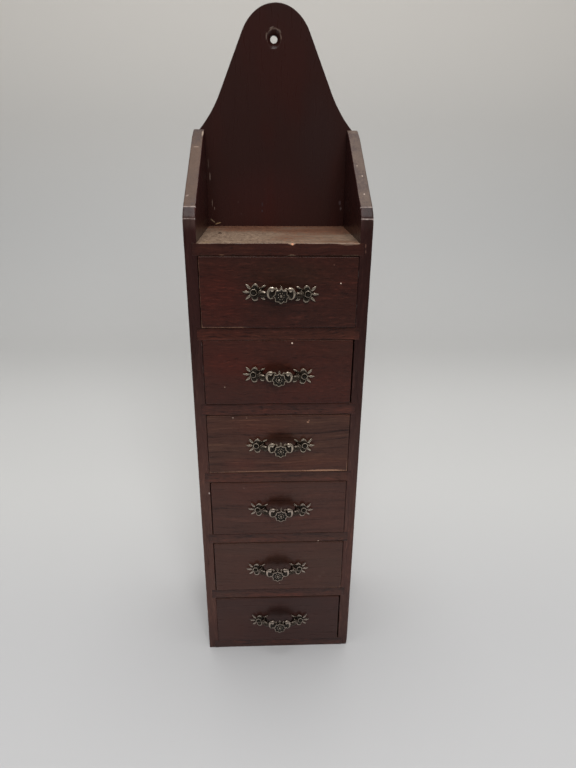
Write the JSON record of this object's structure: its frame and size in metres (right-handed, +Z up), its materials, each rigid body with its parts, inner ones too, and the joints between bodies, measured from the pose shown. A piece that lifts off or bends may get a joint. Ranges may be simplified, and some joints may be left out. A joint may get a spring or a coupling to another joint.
{
  "type": "miniature chest of drawers",
  "caption": "Tall narrow wooden chest of small drawers under an open shelf with sloped cheeks and a round-headed back board to hang or stand; cast brass bow pulls.",
  "frame": {"origin": "middle of the carcass base on the surface it stands on", "axes": "+Z up, -Y out of the drawer fronts, +X to the right seen from the front"},
  "size_m": [0.096, 0.0845, 0.3944],
  "materials": {
    "stained_wood": "dark red-brown stain, satin, worn on the arrises",
    "drawer_front_wood": "dark red-brown stain over open-pored grain, satin",
    "drawer_box_wood": "bare wood, matt",
    "aged_brass": "cast, dark patina in the hollows and rubbed bright on the edges",
    "nail_brass": "dark patina"
  },
  "bodies": {
    "carcass": {"left_side": "stained_wood", "right_side": "stained_wood", "back_board": "stained_wood", "top_shelf": "stained_wood", "divider_1": "stained_wood", "divider_2": "stained_wood", "divider_3": "stained_wood", "divider_4": "stained_wood", "divider_5": "stained_wood", "bottom_board": "stained_wood"},
    "drawer_1": {"drawer_1_front": "drawer_front_wood", "drawer_1_left_side": "drawer_box_wood", "drawer_1_right_side": "drawer_box_wood", "drawer_1_back": "drawer_box_wood", "drawer_1_bottom": "drawer_box_wood", "drawer_1_pull": "aged_brass", "drawer_1_left_nail": "nail_brass", "drawer_1_right_nail": "nail_brass"},
    "drawer_2": {"drawer_2_front": "drawer_front_wood", "drawer_2_left_side": "drawer_box_wood", "drawer_2_right_side": "drawer_box_wood", "drawer_2_back": "drawer_box_wood", "drawer_2_bottom": "drawer_box_wood", "drawer_2_pull": "aged_brass", "drawer_2_left_nail": "nail_brass", "drawer_2_right_nail": "nail_brass"},
    "drawer_3": {"drawer_3_front": "drawer_front_wood", "drawer_3_left_side": "drawer_box_wood", "drawer_3_right_side": "drawer_box_wood", "drawer_3_back": "drawer_box_wood", "drawer_3_bottom": "drawer_box_wood", "drawer_3_pull": "aged_brass", "drawer_3_left_nail": "nail_brass", "drawer_3_right_nail": "nail_brass"},
    "drawer_4": {"drawer_4_front": "drawer_front_wood", "drawer_4_left_side": "drawer_box_wood", "drawer_4_right_side": "drawer_box_wood", "drawer_4_back": "drawer_box_wood", "drawer_4_bottom": "drawer_box_wood", "drawer_4_pull": "aged_brass", "drawer_4_left_nail": "nail_brass", "drawer_4_right_nail": "nail_brass"},
    "drawer_5": {"drawer_5_front": "drawer_front_wood", "drawer_5_left_side": "drawer_box_wood", "drawer_5_right_side": "drawer_box_wood", "drawer_5_back": "drawer_box_wood", "drawer_5_bottom": "drawer_box_wood", "drawer_5_pull": "aged_brass", "drawer_5_left_nail": "nail_brass", "drawer_5_right_nail": "nail_brass"},
    "drawer_6": {"drawer_6_front": "drawer_front_wood", "drawer_6_left_side": "drawer_box_wood", "drawer_6_right_side": "drawer_box_wood", "drawer_6_back": "drawer_box_wood", "drawer_6_bottom": "drawer_box_wood", "drawer_6_pull": "aged_brass", "drawer_6_left_nail": "nail_brass", "drawer_6_right_nail": "nail_brass"}
  },
  "joints": [
    {"name": "drawer_1_slide", "type": "slide", "parent": "carcass", "child": "drawer_1", "axis": [0, -1, 0], "range_m": [0, 0.052]},
    {"name": "drawer_2_slide", "type": "slide", "parent": "carcass", "child": "drawer_2", "axis": [0, -1, 0], "range_m": [0, 0.052]},
    {"name": "drawer_3_slide", "type": "slide", "parent": "carcass", "child": "drawer_3", "axis": [0, -1, 0], "range_m": [0, 0.052]},
    {"name": "drawer_4_slide", "type": "slide", "parent": "carcass", "child": "drawer_4", "axis": [0, -1, 0], "range_m": [0, 0.052]},
    {"name": "drawer_5_slide", "type": "slide", "parent": "carcass", "child": "drawer_5", "axis": [0, -1, 0], "range_m": [0, 0.052]},
    {"name": "drawer_6_slide", "type": "slide", "parent": "carcass", "child": "drawer_6", "axis": [0, -1, 0], "range_m": [0, 0.052]}
  ]
}
